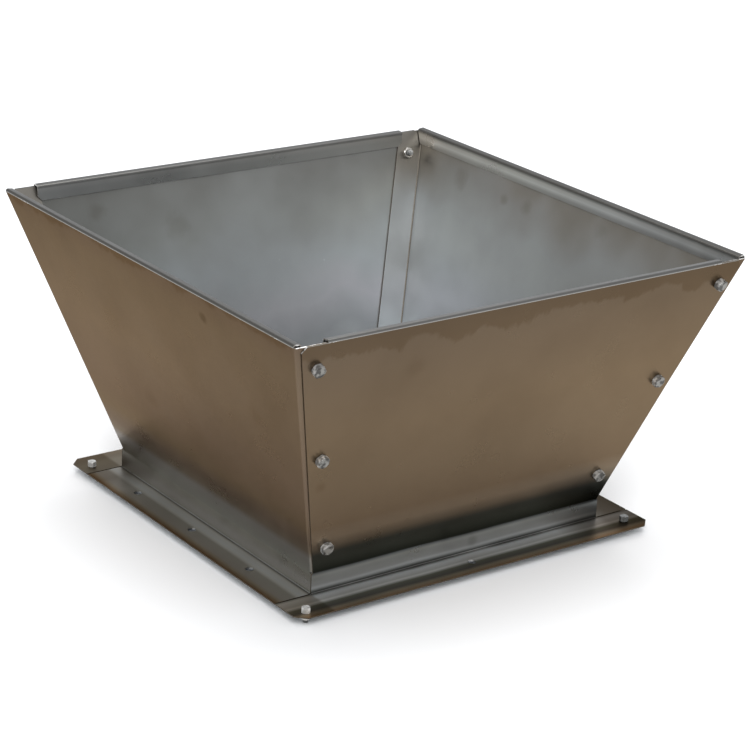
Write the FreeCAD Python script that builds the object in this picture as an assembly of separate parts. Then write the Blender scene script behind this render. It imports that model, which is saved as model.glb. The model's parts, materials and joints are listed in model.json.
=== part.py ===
import FreeCAD, Part
import math
import os

# Roof exhaust fan for a concession hood: a flared square discharge cowl of bolted
# stainless sheet on a drilled foot flange, with a plate-mounted axial fan in its throat.
# Millimetres. +Z is up, the way the air leaves. The origin is on the axis, at the level of
# the four corner screws' ends, on which the unit stands. "Front" faces -Y, "left" faces -X.

Vec = FreeCAD.Vector
UP = Vec(0, 0, 1)

# ---- driving dimensions ---------------------------------------------------------------
sheet = 1.2                      # thickness of every stainless sheet
screw_drop = 10.0                # corner screw length below its head
foot_top = screw_drop            # top face of the foot flange
rim_half = 260.0                 # half width over the rim
throat_half = 173.0              # half width over the upstand
foot_half = 213.0                # half width over the foot flange
cowl_height = 287.5              # rim above the foot flange's top face
upstand_height = 20.0
foot_bend = 1.0                  # inner radius of the bend between foot and upstand
foot_clip = 10.0                 # leg of the clipped flange corners
joint_gap = 0.6                  # gap where the side feet meet the front and rear feet
upstand_gap = 0.15               # gap where the upstands meet at the corners

hem_radius = 2.0                 # outer radius of both bends of the folded rim
hem_width = 8.5                  # from the rim to the inner face of the folded leg
hem_tilt = 7.0                   # fall of the rim's top towards the inside, in degrees
hem_low = 271.0                  # lower edge of the folded leg above the flange
hem_half_front = 226.5           # the front and rear hems stop short of the corners
hem_half_side = 256.0
hem_corner_clip = 6.0

seam_inset_low = 1.6             # front panel edge in from the corner, at the crease
seam_inset_high = 5.6            # and at the rim
seam_return = 33.0               # width of the side panels' corner returns
seam_bend = 2.5                  # outer radius of the corner bend
lap_gap = 0.1                    # air between lapped sheets
return_low = 21.0                # lowest and highest level of the corner returns
return_high = 284.5
panel_corner_clip = 7.0

# Height above the flange and distance from the corner of the bolts of each seam, three on
# the front seams, two on the rear ones.
front_left_bolts = ((50.5, 17.0), (157.0, 18.0), (259.5, 20.0))
front_right_bolts = ((54.5, 25.0), (159.5, 24.0), (262.0, 20.0))
rear_left_bolts = ((50.5, 17.0), (259.5, 20.0))
rear_right_bolts = ((54.5, 25.0), (262.0, 20.0))
bolt_radius = 3.0
bolt_length = 12.0
bolt_across_flats = 11.1
bolt_head = 6.0
nut_across_flats = 11.1
nut_height = 5.2
hole_play = 0.3
thread_play = 0.02

screw_radius = 2.5
screw_across_flats = 8.0
screw_head = 5.5
screw_nut_height = 4.0
# The maker drilled the four corners one by one, so their places are not regular.
corner_screws = ((-198.5, -202.0), (192.0, -193.5), (192.0, 192.0), (-199.0, 189.0))

roof_hole_radius = 4.25
roof_hole_line = 193.0           # distance of the roof holes from the axis
roof_hole_pitch = 103.0
roof_hole_shift = 3.5            # the rows of the sides sit a little to the rear

plate_half = 207.5               # the fan plate stays inside the foot flange's edge
collar_radius = 153.5            # inner radius of the pressed collar
bell_radius = 12.0               # rounding of the collar's inlet
collar_top = 46.0                # above the flange

motor_plate_half = 62.0
motor_plate_thickness = 3.0
motor_plate_level = 63.0         # underside above the flange
tab_half = 30.0                  # front tab under the terminal box
tab_reach = 76.0
arm_width = 25.0
arm_thickness = 3.0
arm_riser_radius = 180.0         # outer face of the riser
arm_outer_radius = 211.0
arm_inner_radius = 48.0
arm_foot_screw = 197.0           # screw circles of the arms
arm_plate_screw = 64.0
fitting_radius = 2.5             # M5 screws of arms and motor plate

motor_radius = 42.0
motor_length = 76.0
shell_thickness = 1.2
bell_depth = 16.0
bell_wall = 2.5
bell_floor = 3.0
boss_radius = 12.0
bearing_radius = 8.0
bearing_length = 14.0
shaft_radius = 4.0
shaft_play = 0.03
shaft_hole = 5.0
stator_bore = 22.6
stator_length = 30.0
slot_count = 12
slot_width = 7.0
slot_inner = 24.3
slot_outer = 33.0
slot_mouth = 2.0
winding_inner = 24.6
winding_outer = 32.8
winding_width = 6.4
winding_overhang = 8.0
rotor_radius = 22.2
cage_inner = 13.0
cage_ring = 4.0
cage_bars = 18
cage_bar_radius = 1.6
cage_bar_circle = 19.0
collar_outer = 7.0
bolt_circle = 36.9               # motor through bolts
through_radius = 2.0
through_tail = 8.0

blade_count = 5
blade_level = 23.0               # spider's middle above the flange
blade_pitch = 27.0
blade_sheet = 1.5
blade_tip = 150.0
blade_root = 52.0
blade_root_half = 27.0           # half widths of the blade's outline
blade_tip_half = 41.0
blade_corner = 16.0
blade_flat_half = 17.0
blade_camber = 110.0             # bend radius beyond the flat band
spider_flat = 36.0               # middle of the spider's five sides from the axis
spider_twist_end = 56.0
spider_sheet = 3.0
spider_arm_half = 16.0
spider_arm_end = 94.0
hub_radius = 12.0
hub_length = 22.0
hub_flange = 21.0
hub_rivet_circle = 16.5
rivet_radius = 2.0

guard_wire = 1.5                 # radius of the guard's wires
guard_rings = (28.0, 54.0, 80.0, 106.0, 132.0, 158.0, 178.0)
guard_tab = 1.5
guard_tab_width = 16.0

box_half = 26.0                  # terminal box: half width, reach, height
box_back = 43.6
box_front = 74.0
box_height = 40.0
box_sheet = 1.2
gland_side = -13.0               # gland and winding leads, to either side of the middle
lead_side = 8.0
lead_level = 19.5                # leads above the motor plate
lug_side = 9.0                   # lugs of the lid screws
gland_bore = 4.2
gland_thread = 8.0

# ---- derived levels -------------------------------------------------------------------
plate_top = foot_top - sheet
plate_low = plate_top - sheet
rim_top = foot_top + cowl_height
crease = foot_top + upstand_height
fan_mid = foot_top + blade_level
plate_seat = foot_top + motor_plate_level
motor_floor = plate_seat + motor_plate_thickness
motor_roof = motor_floor + motor_length
motor_mid = (motor_floor + motor_roof) / 2
stator_low = motor_mid - stator_length / 2
stator_high = motor_mid + stator_length / 2

# The wall is the line from the crease tangent to the folded rim's circle.
hem_centre = Vec(rim_half - hem_radius, 0, rim_top - hem_radius)
rise = hem_centre.z - crease
run = hem_centre.x - throat_half
lean = math.atan2(run, rise) + math.asin(hem_radius / math.hypot(run, rise))
slope = math.tan(lean)
wall_out = Vec(math.cos(lean), 0, -math.sin(lean))
tilt = math.radians(hem_tilt)
hem_up = Vec(-math.sin(tilt), 0, math.cos(tilt))
hem_in = Vec(-math.cos(tilt), 0, -math.sin(tilt))
leg_centre = hem_centre + hem_in * ((hem_width - 2 * hem_radius) / math.cos(tilt))
leg_end = foot_top + hem_low


def wall_half(level):
    """Half width over the outer faces of the walls at a level above the crease."""
    return throat_half + (level - crease) * slope


# ---- general helpers ------------------------------------------------------------------
def polygon(points):
    return Part.Face(Part.makePolygon(list(points) + [points[0]]))


def prism(points, low, high):
    """Upright prism over a plan outline."""
    face = polygon([Vec(x, y, low) for x, y in points])
    return face.extrude(Vec(0, 0, high - low))


def box(x0, x1, y0, y1, z0, z1):
    return Part.makeBox(x1 - x0, y1 - y0, z1 - z0, Vec(x0, y0, z0))


def rod(radius, start, end):
    axis = end - start
    return Part.makeCylinder(radius, axis.Length, start, axis)


def tube(outer, inner, low, high):
    body = rod(outer, Vec(0, 0, low), Vec(0, 0, high))
    return body.cut(rod(inner, Vec(0, 0, low - 1), Vec(0, 0, high + 1)))


def turned(shape, degrees):
    """A copy turned about the axis of the fan."""
    copy = shape.copy()
    copy.rotate(Vec(0, 0, 0), UP, degrees)
    return copy


def placed(shape, point, axis):
    """A copy whose own +Z lies along axis, with its origin at point."""
    copy = shape.copy()
    copy.Placement = FreeCAD.Placement(point, FreeCAD.Rotation(UP, axis))
    return copy


def union(shapes):
    body = shapes[0]
    for other in shapes[1:]:
        body = body.fuse(other)
    return body.removeSplitter()


def hexagon(across_flats, low, high):
    corner = across_flats / math.sqrt(3)
    points = [(corner * math.cos(math.radians(60 * i)), corner * math.sin(math.radians(60 * i)))
              for i in range(6)]
    return prism(points, low, high)


def bevelled(shape, across_flats, low, high, bevel_low, bevel_high):
    """Turn the corners off a hexagon's ends, as on a real bolt head or nut."""
    corner = across_flats / math.sqrt(3)
    flat = across_flats / 2 * 0.97
    drop = (corner - flat) * math.tan(math.radians(30))
    points = [Vec(0, 0, low), Vec(flat if bevel_low else corner + 0.1, 0, low)]
    if bevel_low:
        points.append(Vec(corner + 0.1, 0, low + drop))
    if bevel_high:
        points.append(Vec(corner + 0.1, 0, high - drop))
    points += [Vec(flat if bevel_high else corner + 0.1, 0, high), Vec(0, 0, high)]
    return shape.common(polygon(points).revolve(Vec(0, 0, 0), UP, 360))


def hex_screw(radius, length, across_flats, head):
    """Hexagon screw: its head stands on the plane z = 0 and its shank points down."""
    top = bevelled(hexagon(across_flats, 0, head), across_flats, 0, head, False, True)
    tip = 0.16 * radius * 2
    shank = rod(radius, Vec(0, 0, -length + tip), Vec(0, 0, 0))
    point = Part.makeCone(radius - tip, radius, tip, Vec(0, 0, -length))
    return union([top, shank, point])


def pan_screw(radius, length, head_radius, head):
    """Cross-recessed pan head screw standing on z = 0."""
    dome = rod(head_radius, Vec(0, 0, 0), Vec(0, 0, head))
    ball_radius = (head_radius ** 2 + head ** 2) / (2 * head)
    ball = Part.makeSphere(ball_radius, Vec(0, 0, head - ball_radius))
    dome = dome.common(ball)
    slot = box(-head_radius * 0.55, head_radius * 0.55, -0.45, 0.45, head - 1.0, head + 1)
    dome = dome.cut(slot).cut(turned(slot, 90))
    return union([dome, rod(radius, Vec(0, 0, -length), Vec(0, 0, 0))])


def hex_nut(radius, across_flats, height):
    """Hexagon nut standing on z = 0."""
    body = bevelled(hexagon(across_flats, 0, height), across_flats, 0, height, True, True)
    return body.cut(rod(radius + thread_play, Vec(0, 0, -1), Vec(0, 0, height + 1)))


def save(name, shape):
    if isinstance(shape, list):
        shape = Part.makeCompound(shape)
    bad = [s for s in shape.Solids if not s.isValid() or s.Volume <= 0]
    print(name, len(shape.Solids), "solids", round(shape.Volume / 1000.0, 2), "cm3",
          "BAD" if bad or not shape.Solids else "ok")
    shape.exportStep("parts/" + name + ".step")


# ---- cowl panels ----------------------------------------------------------------------
def panel_profile(with_hem):
    """Section of a panel in the XZ plane, with +X outward: foot, upstand, wall and fold."""
    bend_centre = Vec(throat_half + foot_bend, 0, foot_top + foot_bend)
    diagonal = Vec(-1, 0, -1).normalize()
    inner_crease = Vec(throat_half - sheet, 0, crease + sheet * math.tan(lean / 2))
    outer_end = hem_centre + wall_out * hem_radius
    inner_end = hem_centre + wall_out * (hem_radius - sheet)
    edges = [
        Part.LineSegment(Vec(foot_half, 0, foot_top), Vec(bend_centre.x, 0, foot_top)),
        Part.Arc(Vec(bend_centre.x, 0, foot_top), bend_centre + diagonal * foot_bend,
                 Vec(throat_half, 0, bend_centre.z)),
        Part.LineSegment(Vec(throat_half, 0, bend_centre.z), Vec(throat_half, 0, crease)),
        Part.LineSegment(Vec(throat_half, 0, crease), outer_end),
    ]
    if with_hem:
        outside = fold_edges(hem_radius)
        inside = fold_edges(hem_radius - sheet)
        low_out = Vec(leg_centre.x - hem_radius, 0, leg_end)
        low_in = low_out + Vec(sheet, 0, 0)
        edges += outside + inside + [Part.LineSegment(low_out, low_in)]
    else:
        edges.append(Part.LineSegment(outer_end, inner_end))
    edges += [
        Part.LineSegment(inner_end, inner_crease),
        Part.LineSegment(inner_crease, Vec(throat_half - sheet, 0, bend_centre.z)),
        Part.Arc(Vec(throat_half - sheet, 0, bend_centre.z),
                 bend_centre + diagonal * (foot_bend + sheet),
                 Vec(bend_centre.x, 0, plate_top)),
        Part.LineSegment(Vec(bend_centre.x, 0, plate_top), Vec(foot_half, 0, plate_top)),
        Part.LineSegment(Vec(foot_half, 0, plate_top), Vec(foot_half, 0, foot_top)),
    ]
    wire = Part.Wire(Part.__sortEdges__([edge.toShape() for edge in edges]))
    return Part.Face(wire)


def fold_edges(radius):
    """One face of the folded rim: outer bend, sloping top, inner bend and upright leg."""
    start = hem_centre + wall_out * radius
    top = hem_centre + hem_up * radius
    turn = leg_centre + hem_up * radius
    leg = leg_centre - Vec(radius, 0, 0)
    outer_middle = hem_centre + (wall_out + hem_up).normalize() * radius
    inner_middle = leg_centre + (hem_up - Vec(1, 0, 0)).normalize() * radius
    return [Part.Arc(start, outer_middle, top), Part.LineSegment(top, turn),
            Part.Arc(turn, inner_middle, leg), Part.LineSegment(leg, Vec(leg.x, 0, leg_end))]


def bent_strip(half_length, with_hem):
    """The whole section drawn out along Y, facing +X."""
    face = panel_profile(with_hem)
    face.translate(Vec(0, -half_length, 0))
    return face.extrude(Vec(0, 2 * half_length, 0))


def outline_prism(half_points):
    """Prism along X over an outline in Y and Z, given for positive Y and mirrored."""
    right = [Vec(0, y, z) for y, z in half_points]
    left = [Vec(0, -y, z) for y, z in reversed(half_points)]
    return polygon(right + left).extrude(Vec(2 * rim_half, 0, 0))


def hem_end_cuts(half_length):
    """Clip the lower corners of the folded leg at both ends."""
    low = leg_end - 1
    leg = leg_centre.x - hem_radius - 0.3
    cuts = []
    for side in (-1, 1):
        end = side * (half_length + 1)
        corner = [Vec(leg, end, low), Vec(leg, side * (half_length - hem_corner_clip), low),
                  Vec(leg, end, low + hem_corner_clip + 1)]
        cuts.append(polygon(corner).extrude(Vec(sheet + 0.8, 0, 0)))
    return cuts


def drilled(shape, places, radius, low, high):
    for x, y in places:
        shape = shape.cut(rod(radius, Vec(x, y, low), Vec(x, y, high)))
    return shape


def roof_holes():
    """Plan places of the eight holes that fix the unit to a roof or curb."""
    places = []
    for side in (-1, 1):
        for row in (-1, 0, 1):
            places.append((side * roof_hole_line, roof_hole_shift + row * roof_hole_pitch))
        places.append((0, side * roof_hole_line))
    return places


def seam_bolt_places():
    """Head seat and outward axis of each seam bolt, on the front and rear walls."""
    seams = ((-1, -1, front_left_bolts), (-1, 1, front_right_bolts),
             (1, -1, rear_left_bolts), (1, 1, rear_right_bolts))
    places = []
    for face, side, seam in seams:
        for row, inset in seam:
            half = wall_half(foot_top + row)
            point = Vec(side * (half - inset), face * half, foot_top + row)
            axis = Vec(0, face * wall_out.x, wall_out.z)
            places.append((point, axis))
    return places


def seam_drills(shape):
    for point, axis in seam_bolt_places():
        shape = shape.cut(rod(bolt_radius + hole_play, point - axis * 8, point + axis * 4))
    return shape


def face_panel():
    """Front or rear panel, facing +X: it laps outside the side panels' returns."""
    body = union([bent_strip(hem_half_front, True), bent_strip(rim_half, False)])
    top = hem_centre.z + hem_radius + 1
    high = wall_half(hem_centre.z) - seam_inset_high
    keep = outline_prism([
        (foot_half, plate_top - 1),
        (foot_half, foot_top + 0.4),
        (throat_half, foot_top + 0.4),
        (throat_half, crease - 0.6),
        (wall_half(crease + 0.6) - seam_inset_low, crease + 0.6),
        (high - panel_corner_clip * slope, hem_centre.z - panel_corner_clip),
        (high - panel_corner_clip, hem_centre.z),
        (high - panel_corner_clip, top),
    ])
    body = body.common(keep)
    for side in (-1, 1):
        # Beyond the upstand only the flat corner of the foot is left.
        edge = sorted((side * throat_half, side * (foot_half + 1)))
        body = body.cut(box(0, throat_half, edge[0], edge[1], plate_top - 1, crease))
        clip = [(foot_half + 1, side * (foot_half + 1)),
                (foot_half - foot_clip - 1, side * (foot_half + 1)),
                (foot_half + 1, side * (foot_half - foot_clip - 1))]
        body = body.cut(prism(clip, plate_top - 1, foot_top + 1))
    for wedge in hem_end_cuts(hem_half_front):
        body = body.cut(wedge)
    return body.removeSplitter()


def side_return(side):
    """Corner bend and return of a side panel: a section drawn out along the corner."""
    level = foot_top + return_low
    across = sheet / math.cos(lean)
    half = wall_half(level)
    face_y = half - across - lap_gap
    centre = Vec(half - seam_bend, face_y - seam_bend, level)
    diagonal = Vec(1, 1, 0).normalize()
    inner = seam_bend - across
    edges = [
        Part.LineSegment(Vec(half - across, centre.y, level), Vec(half, centre.y, level)),
        Part.Arc(Vec(half, centre.y, level), centre + diagonal * seam_bend,
                 Vec(centre.x, face_y, level)),
        Part.LineSegment(Vec(centre.x, face_y, level), Vec(half - seam_return, face_y, level)),
        Part.LineSegment(Vec(half - seam_return, face_y, level),
                         Vec(half - seam_return, face_y - across, level)),
        Part.LineSegment(Vec(half - seam_return, face_y - across, level),
                         Vec(centre.x, face_y - across, level)),
        Part.Arc(Vec(centre.x, face_y - across, level), centre + diagonal * inner,
                 Vec(half - across, centre.y, level)),
    ]
    face = Part.Face(Part.Wire(Part.__sortEdges__([edge.toShape() for edge in edges])))
    height = return_high - return_low
    body = face.extrude(Vec(height * slope, height * slope, height))
    if side < 0:
        body = body.mirror(Vec(0, 0, 0), Vec(0, 1, 0))
    return body


def side_panel():
    """Left or right panel, facing +X, with a bolted return at each corner."""
    body = union([bent_strip(hem_half_side, True), bent_strip(rim_half, False)])
    across = sheet / math.cos(lean)
    inset = across + lap_gap + seam_bend
    top = hem_centre.z + hem_radius + 1
    keep = outline_prism([
        (throat_half - joint_gap, plate_top - 1),
        (throat_half - joint_gap, foot_top + 0.4),
        (throat_half - sheet - upstand_gap, foot_top + 0.4),
        (throat_half - sheet - upstand_gap, crease - 0.6),
        (wall_half(crease) - inset, crease),
        (wall_half(top) - inset, top),
    ])
    body = body.common(keep)
    for wedge in hem_end_cuts(min(hem_half_side, wall_half(rim_top - 10) - inset)):
        body = body.cut(wedge)
    return union([body, side_return(-1), side_return(1)])


def cowl_panels():
    """The four sheets of the cowl, drilled and turned to their sides."""
    holes = roof_holes()
    for name, shape, degrees in (("front_panel", face_panel(), -90), ("rear_panel", face_panel(), 90),
                                 ("left_panel", side_panel(), 180), ("right_panel", side_panel(), 0)):
        body = turned(shape, degrees)
        body = drilled(body, holes, roof_hole_radius, plate_top - 1, foot_top + 1)
        body = drilled(body, corner_screws, screw_radius + hole_play, plate_top - 1, foot_top + 1)
        body = seam_drills(body)
        save(name, body)


def seam_fasteners():
    grip = 2 * sheet + lap_gap * math.cos(lean)
    bolt = hex_screw(bolt_radius, bolt_length, bolt_across_flats, bolt_head)
    nut = hex_nut(bolt_radius, nut_across_flats, nut_height)
    places = seam_bolt_places()
    save("seam_bolts", [placed(bolt, point, axis) for point, axis in places])
    save("seam_nuts", [placed(nut, point - axis * grip, axis * -1) for point, axis in places])


def corner_fasteners():
    screw = hex_screw(screw_radius, screw_drop, screw_across_flats, screw_head)
    nut = hex_nut(screw_radius, screw_across_flats, screw_nut_height)
    save("corner_screws", [placed(screw, Vec(x, y, foot_top), UP) for x, y in corner_screws])
    save("corner_nuts", [placed(nut, Vec(x, y, plate_low), UP * -1) for x, y in corner_screws])


# ---- fan plate and motor support --------------------------------------------------------
def diagonal_places(radius):
    reach = radius / math.sqrt(2)
    return [(reach, reach), (-reach, reach), (-reach, -reach), (reach, -reach)]


def revolve_section(edges):
    face = Part.Face(Part.Wire(Part.__sortEdges__([edge.toShape() for edge in edges])))
    return face.revolve(Vec(0, 0, 0), UP, 360)


def collar():
    """Pressed collar with a rounded inlet, from the plate up round the blades."""
    centre = Vec(collar_radius + bell_radius, 0, plate_low + bell_radius)
    inward = Vec(-1, 0, -1).normalize()
    top = foot_top + collar_top
    return revolve_section([
        Part.Arc(Vec(centre.x, 0, plate_low), centre + inward * bell_radius,
                 Vec(collar_radius, 0, centre.z)),
        Part.LineSegment(Vec(collar_radius, 0, centre.z), Vec(collar_radius, 0, top)),
        Part.LineSegment(Vec(collar_radius, 0, top), Vec(collar_radius + sheet, 0, top)),
        Part.LineSegment(Vec(collar_radius + sheet, 0, top),
                         Vec(collar_radius + sheet, 0, centre.z)),
        Part.Arc(Vec(collar_radius + sheet, 0, centre.z),
                 centre + inward * (bell_radius - sheet), Vec(centre.x, 0, plate_top)),
        Part.LineSegment(Vec(centre.x, 0, plate_top), Vec(centre.x, 0, plate_low)),
    ])


def fan_plate():
    body = box(-plate_half, plate_half, -plate_half, plate_half, plate_low, plate_top)
    body = body.cut(rod(collar_radius + bell_radius, Vec(0, 0, plate_low - 1),
                        Vec(0, 0, plate_top + 1)))
    body = union([body, collar()])
    low = plate_low - 1
    high = plate_top + 1
    body = drilled(body, roof_holes(), roof_hole_radius, low, high)
    body = drilled(body, corner_screws, screw_radius + hole_play, low, high)
    body = drilled(body, diagonal_places(arm_foot_screw), fitting_radius + hole_play, low, high)
    save("fan_plate", body)


def motor_arm():
    """Bent strap along +X: foot on the fan plate, riser, level part under the motor plate."""
    top = plate_seat
    points = [(arm_outer_radius, plate_top), (arm_outer_radius, plate_top + arm_thickness),
              (arm_riser_radius, plate_top + arm_thickness), (arm_riser_radius, top),
              (arm_inner_radius, top), (arm_inner_radius, top - arm_thickness),
              (arm_riser_radius - arm_thickness, top - arm_thickness),
              (arm_riser_radius - arm_thickness, plate_top)]
    half = arm_width / 2
    face = polygon([Vec(x, -half, z) for x, z in points])
    strap = face.extrude(Vec(0, arm_width, 0))
    bends = [edge for edge in strap.Edges if is_bend(edge, top)]
    strap = strap.makeFillet(2.0, bends)
    for radius in (arm_foot_screw, arm_plate_screw):
        strap = strap.cut(rod(fitting_radius + hole_play, Vec(radius, 0, 0), Vec(radius, 0, top + 1)))
    return strap


def is_bend(edge, top):
    """Whether an edge of the strap lies across it at one of its two bends."""
    middle = edge.CenterOfMass
    across = abs(edge.Length - arm_width) < 0.01
    at_foot = abs(middle.x - arm_riser_radius) < 0.1 and middle.z < plate_top + arm_thickness + 0.1
    at_top = abs(middle.x - arm_riser_radius) < 0.1 and abs(middle.z - top) < 0.1
    at_inside = abs(middle.x - arm_riser_radius + arm_thickness) < 0.1
    return across and (at_foot or at_top or at_inside)


def motor_support():
    arm = motor_arm()
    save("motor_arms", [turned(arm, 45 + 90 * i) for i in range(4)])
    half = motor_plate_half
    tab = prism([(-tab_half, -tab_reach), (tab_half, -tab_reach), (tab_half, -half + 4),
                 (-tab_half, -half + 4)], plate_seat, motor_floor)
    body = box(-half, half, -half, half, plate_seat, motor_floor)
    corners = [edge for edge in body.Edges if abs(edge.Length - motor_plate_thickness) < 0.01]
    body = union([body.makeFillet(10.0, corners), tab])
    low = plate_seat - 1
    high = motor_floor + 1
    body = body.cut(rod(boss_radius, Vec(0, 0, low), Vec(0, 0, high)))
    body = drilled(body, diagonal_places(arm_plate_screw), fitting_radius + hole_play, low, high)
    body = drilled(body, through_places(), through_radius + hole_play, low, high)
    body = drilled(body, box_rivet_places(), rivet_radius + 0.05, low, high)
    save("motor_plate", body)


def support_fasteners():
    nut = hex_nut(fitting_radius, 8.0, 4.0)
    foot_top_face = plate_top + arm_thickness
    foot_grip = arm_thickness + sheet + guard_tab
    foot_screw = pan_screw(fitting_radius, foot_grip + 5.0, 4.75, 3.6)
    feet = diagonal_places(arm_foot_screw)
    save("arm_screws", [placed(foot_screw, Vec(x, y, foot_top_face), UP) for x, y in feet])
    save("arm_nuts", [placed(nut, Vec(x, y, plate_low - guard_tab), UP * -1) for x, y in feet])
    grip = motor_plate_thickness + arm_thickness
    screw = pan_screw(fitting_radius, grip + 5.5, 4.75, 3.6)
    seats = diagonal_places(arm_plate_screw)
    save("plate_screws", [placed(screw, Vec(x, y, motor_floor), UP) for x, y in seats])
    save("plate_nuts", [placed(nut, Vec(x, y, plate_seat - arm_thickness), UP * -1)
                        for x, y in seats])


def guard_ring(radius, level):
    """Wire ring whose seam is turned clear of the spokes."""
    circle = Part.makeCircle(guard_wire, Vec(radius, 0, level), Vec(0, 1, 0))
    ring = Part.Face(Part.Wire(circle)).revolve(Vec(0, 0, 0), UP, 360)
    return turned(ring, 10)


def finger_guard():
    """Welded wire guard under the plate: rings on four spokes, each with a screwed tab."""
    ring_level = plate_low - guard_wire - 0.3
    wire_level = ring_level - 2 * guard_wire + 0.5
    body = guard_ring(guard_rings[0], ring_level)
    for radius in guard_rings[1:]:
        body = body.fuse(guard_ring(radius, ring_level))
    spoke = rod(guard_wire, Vec(guard_rings[0] - 5, 0, wire_level),
                Vec(guard_rings[-1] + 2, 0, wire_level))
    tab = box(guard_rings[-1] - 1, arm_outer_radius, -guard_tab_width / 2, guard_tab_width / 2,
              plate_low - guard_tab, plate_low)
    tab = tab.cut(rod(fitting_radius + hole_play, Vec(arm_foot_screw, 0, 0),
                      Vec(arm_foot_screw, 0, plate_low + 1)))
    for i in range(4):
        body = body.fuse(turned(spoke, 45 + 90 * i))
    for i in range(4):
        body = body.fuse(turned(tab, 45 + 90 * i))
    save("finger_guard", body)


# ---- motor ------------------------------------------------------------------------------
def through_places():
    return [(bolt_circle, 0), (0, bolt_circle), (-bolt_circle, 0), (0, -bolt_circle)]


def end_bell():
    """Cast end cup standing on z = 0, with a bearing boss and air windows."""
    cup = tube(motor_radius, motor_radius - bell_wall, 0, bell_depth)
    floor = rod(motor_radius, Vec(0, 0, 0), Vec(0, 0, bell_floor))
    boss_height = bell_floor + bearing_length
    boss = rod(boss_radius, Vec(0, 0, 0), Vec(0, 0, boss_height))
    body = union([cup, floor, boss])
    body = body.cut(rod(bearing_radius, Vec(0, 0, bell_floor), Vec(0, 0, boss_height + 1)))
    body = body.cut(rod(shaft_hole, Vec(0, 0, -1), Vec(0, 0, bell_floor + 1)))
    body = drilled(body, through_places(), through_radius + hole_play, -1, bell_floor + 1)
    ends = [rod(2.5, Vec(0, y, -1), Vec(0, y, bell_floor + 1)) for y in (-3.5, 3.5)]
    window = union(ends + [box(-2.5, 2.5, -3.5, 3.5, -1, bell_floor + 1)])
    window.translate(Vec(24, 0, 0))
    for i in range(8):
        body = body.cut(turned(window, 22.5 + 45 * i))
    return body


def motor_housing():
    bell = end_bell()
    save("lower_end_bell", placed(bell, Vec(0, 0, motor_floor), UP))
    save("upper_end_bell", placed(bell, Vec(0, 0, motor_roof), UP * -1))
    shell = tube(motor_radius, motor_radius - shell_thickness, motor_floor + bell_depth,
                 motor_roof - bell_depth)
    shell = shell.cut(lead_way(3.0))
    save("motor_shell", shell)
    bearing = tube(bearing_radius, shaft_radius + shaft_play, 0, bearing_length)
    low = placed(bearing, Vec(0, 0, motor_floor + bell_floor), UP)
    high = placed(bearing, Vec(0, 0, motor_roof - bell_floor), UP * -1)
    save("bearings", [low, high])
    tail = motor_length + motor_plate_thickness + through_tail
    bolt = hex_screw(through_radius, tail, 7.0, 2.8)
    nut = hex_nut(through_radius, 7.0, 3.2)
    places = through_places()
    save("motor_bolts", [placed(bolt, Vec(x, y, motor_roof), UP) for x, y in places])
    save("motor_nuts", [placed(nut, Vec(x, y, plate_seat), UP * -1) for x, y in places])


def around(shape, count):
    return [turned(shape, 360.0 / count * i) for i in range(count)]


def stator():
    outer = motor_radius - shell_thickness
    core = tube(outer, stator_bore, stator_low, stator_high)
    slot = box(slot_inner, slot_outer, -slot_width / 2, slot_width / 2,
               stator_low - 1, stator_high + 1)
    mouth = box(stator_bore - 1, slot_inner + 1, -slot_mouth / 2, slot_mouth / 2,
                stator_low - 1, stator_high + 1)
    for cutter in around(union([slot, mouth]), slot_count):
        core = core.cut(cutter)
    core = drilled(core, through_places(), through_radius + hole_play, stator_low - 1,
                   stator_high + 1)
    save("stator_core", core)
    bar = box(winding_inner + 0.3, winding_outer - 0.3, -winding_width / 2, winding_width / 2,
              stator_low - 1, stator_high + 1)
    low_turn = tube(winding_outer, winding_inner, stator_low - winding_overhang, stator_low - 0.2)
    high_turn = tube(winding_outer, winding_inner, stator_high + 0.2,
                     stator_high + winding_overhang)
    save("windings", union([low_turn, high_turn] + around(bar, slot_count)))


def motor_rotor():
    bore = rod(shaft_radius, Vec(0, 0, 0), Vec(0, 0, motor_roof))
    core = rod(rotor_radius, Vec(0, 0, stator_low), Vec(0, 0, stator_high)).cut(bore)
    bar = rod(cage_bar_radius, Vec(cage_bar_circle, 0, stator_low),
              Vec(cage_bar_circle, 0, stator_high))
    bars = around(bar, cage_bars)
    for cutter in bars:
        core = core.cut(cutter)
    save("rotor_core", core)
    ring = tube(rotor_radius - 0.2, cage_inner, stator_low - cage_ring, stator_low)
    top_ring = ring.copy()
    top_ring.translate(Vec(0, 0, stator_length + cage_ring))
    save("rotor_cage", union([ring, top_ring] + bars))
    reach = bell_floor + bearing_length + 0.5
    low = tube(collar_outer, shaft_radius, motor_floor + reach, stator_low)
    high = tube(collar_outer, shaft_radius, stator_high, motor_roof - reach)
    save("thrust_collars", [low, high])
    start = fan_mid - 6
    shaft = rod(shaft_radius, Vec(0, 0, start), Vec(0, 0, motor_roof - 2))
    ends = [edge for edge in shaft.Edges if edge.Length < 30]
    save("shaft", shaft.makeChamfer(0.6, ends))


# ---- impeller ---------------------------------------------------------------------------
def pitched(shape):
    """Turn a shape lying in the arm's plane to the blade's pitch and lift it to its level."""
    copy = shape.copy()
    copy.rotate(Vec(0, 0, 0), Vec(1, 0, 0), blade_pitch)
    copy.translate(Vec(0, 0, fan_mid))
    return copy


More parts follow.
